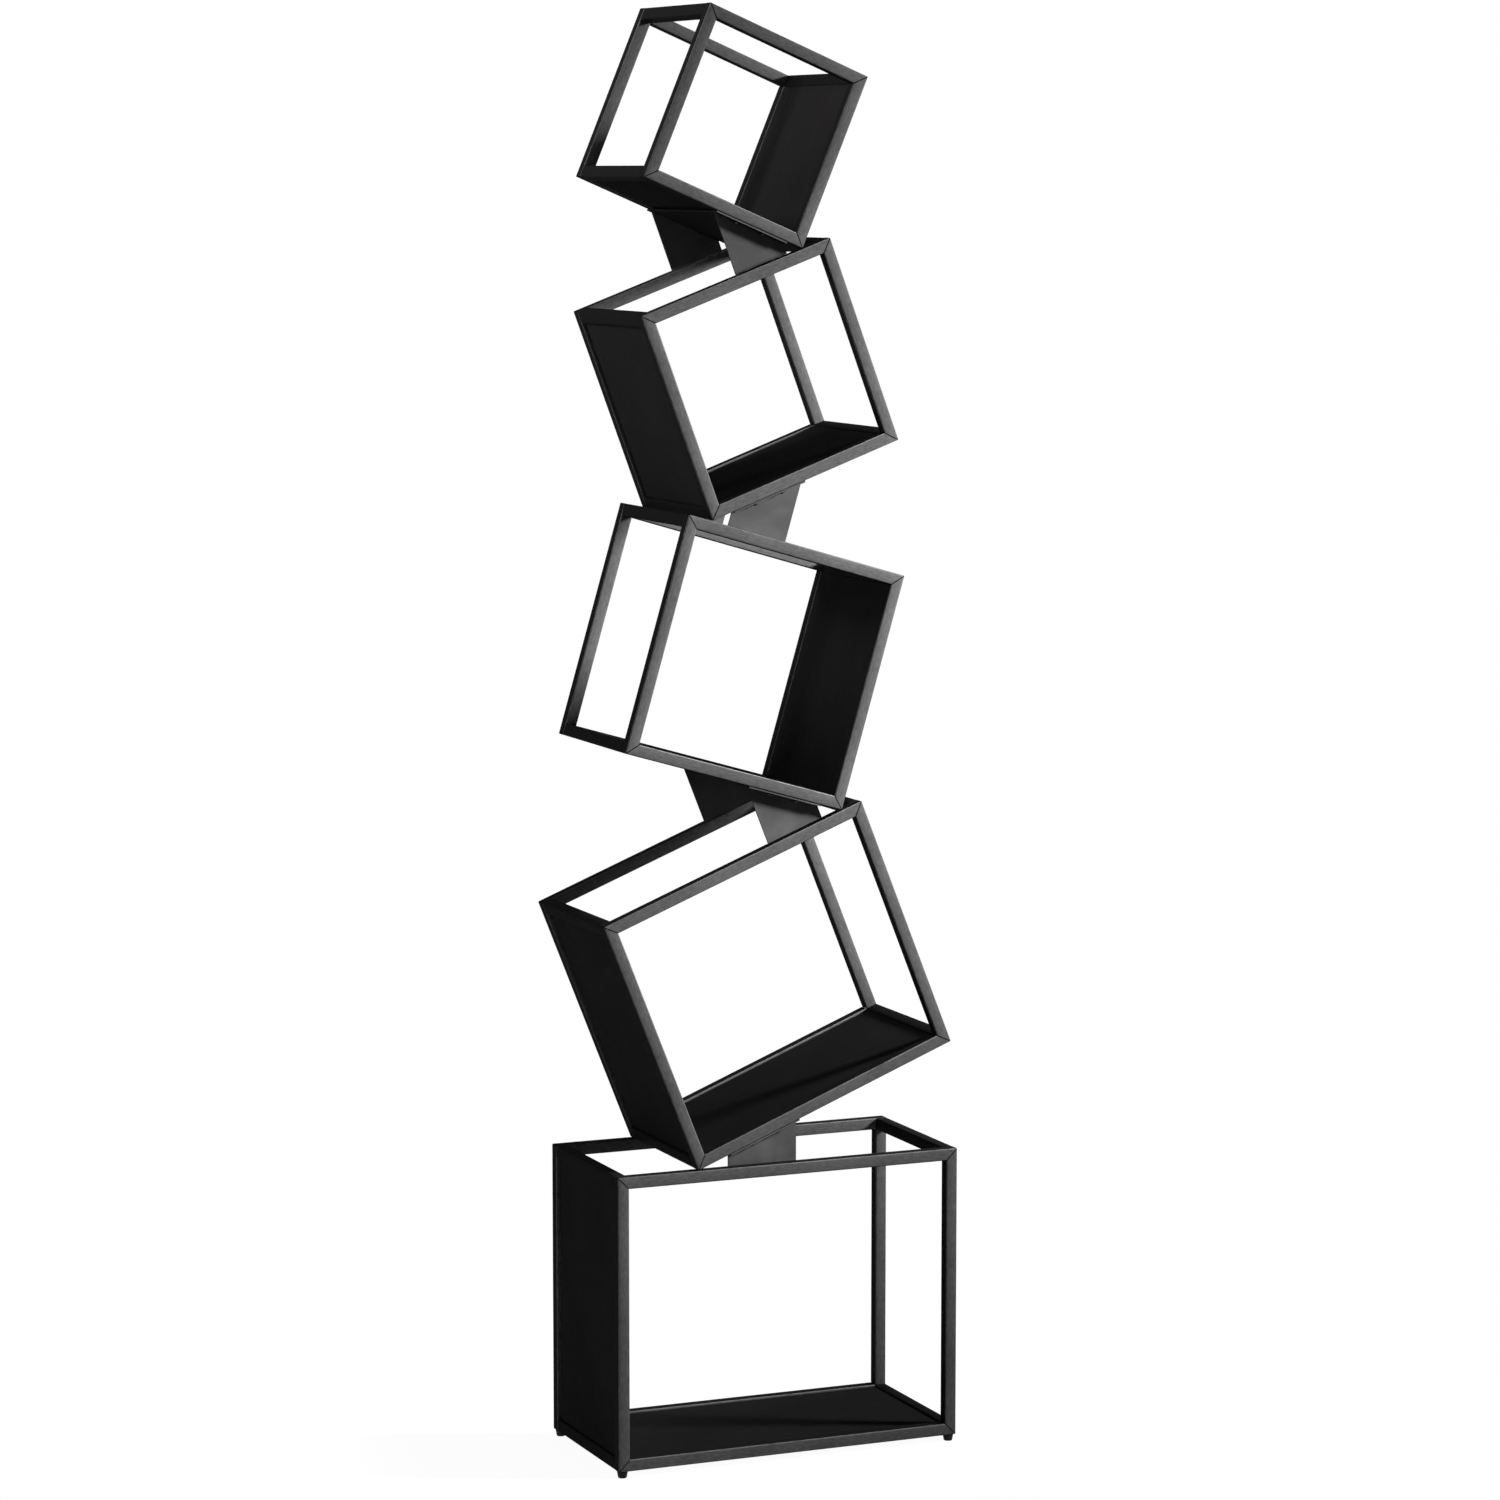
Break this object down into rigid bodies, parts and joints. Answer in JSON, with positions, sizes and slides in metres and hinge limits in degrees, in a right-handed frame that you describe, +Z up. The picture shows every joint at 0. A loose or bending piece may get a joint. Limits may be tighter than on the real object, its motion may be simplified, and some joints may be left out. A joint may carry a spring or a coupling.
{
  "type": "bookcase",
  "caption": "Free-standing open bookcase: square boxes of black steel tube stacked at alternating tilts, with thin shelf and side panels, plate brackets between them and levelling feet.",
  "frame": {"origin": "on the floor, in the middle of the bookcase's width and depth", "axes": "+Z up, -Y to the open front, +X to the right as seen from the front"},
  "size_m": [0.4774, 0.228, 1.8024],
  "materials": {
    "blackened_steel": "satin black with a faint metallic brushing",
    "black_board": "black stained, low sheen",
    "black_foot": "matt black",
    "zinc_plate": "zinc plated"
  },
  "bodies": {
    "bookcase": {"bottom_box_front_frame": "blackened_steel", "bottom_box_back_frame": "blackened_steel", "bottom_box_bottom_left_rail": "blackened_steel", "bottom_box_bottom_right_rail": "blackened_steel", "bottom_box_top_left_rail": "blackened_steel", "bottom_box_top_right_rail": "blackened_steel", "bottom_box_shelf": "black_board", "bottom_box_side_panel": "black_board", "second_box_front_frame": "blackened_steel", "second_box_back_frame": "blackened_steel", "second_box_bottom_left_rail": "blackened_steel", "second_box_bottom_right_rail": "blackened_steel", "second_box_top_left_rail": "blackened_steel", "second_box_top_right_rail": "blackened_steel", "second_box_shelf": "black_board", "second_box_side_panel": "black_board", "second_box_bracket": "blackened_steel", "second_box_bracket_inner_screw": "blackened_steel", "second_box_bracket_outer_screw": "blackened_steel", "third_box_front_frame": "blackened_steel", "third_box_back_frame": "blackened_steel", "third_box_bottom_left_rail": "blackened_steel", "third_box_bottom_right_rail": "blackened_steel", "third_box_top_left_rail": "blackened_steel", "third_box_top_right_rail": "blackened_steel", "third_box_shelf": "black_board", "third_box_side_panel": "black_board", "third_box_bracket": "blackened_steel", "third_box_bracket_inner_screw": "blackened_steel", "third_box_bracket_outer_screw": "blackened_steel", "fourth_box_front_frame": "blackened_steel", "fourth_box_back_frame": "blackened_steel", "fourth_box_bottom_left_rail": "blackened_steel", "fourth_box_bottom_right_rail": "blackened_steel", "fourth_box_top_left_rail": "blackened_steel", "fourth_box_top_right_rail": "blackened_steel", "fourth_box_shelf": "black_board", "fourth_box_side_panel": "black_board", "fourth_box_bracket": "blackened_steel", "fourth_box_bracket_inner_screw": "blackened_steel", "fourth_box_bracket_outer_screw": "blackened_steel", "top_box_front_frame": "blackened_steel", "top_box_back_frame": "blackened_steel", "top_box_bottom_left_rail": "blackened_steel", "top_box_bottom_right_rail": "blackened_steel", "top_box_top_left_rail": "blackened_steel", "top_box_top_right_rail": "blackened_steel", "top_box_shelf": "black_board", "top_box_side_panel": "black_board", "top_box_bracket": "blackened_steel", "top_box_bracket_inner_screw": "blackened_steel", "top_box_bracket_outer_screw": "blackened_steel", "threaded_insert_front_left": "zinc_plate", "threaded_insert_front_right": "zinc_plate", "threaded_insert_back_left": "zinc_plate", "threaded_insert_back_right": "zinc_plate"},
    "front_left_foot": {"levelling_foot_front_left": "black_foot"},
    "front_right_foot": {"levelling_foot_front_right": "black_foot"},
    "back_left_foot": {"levelling_foot_back_left": "black_foot"},
    "back_right_foot": {"levelling_foot_back_right": "black_foot"}
  },
  "joints": [
    {"name": "front_left_foot_height", "type": "slide", "parent": "bookcase", "child": "front_left_foot", "axis": [0, 0, -1], "range_m": [0, 0.006]},
    {"name": "front_right_foot_height", "type": "slide", "parent": "bookcase", "child": "front_right_foot", "axis": [0, 0, -1], "range_m": [0, 0.006]},
    {"name": "back_left_foot_height", "type": "slide", "parent": "bookcase", "child": "back_left_foot", "axis": [0, 0, -1], "range_m": [0, 0.006]},
    {"name": "back_right_foot_height", "type": "slide", "parent": "bookcase", "child": "back_right_foot", "axis": [0, 0, -1], "range_m": [0, 0.006]}
  ]
}
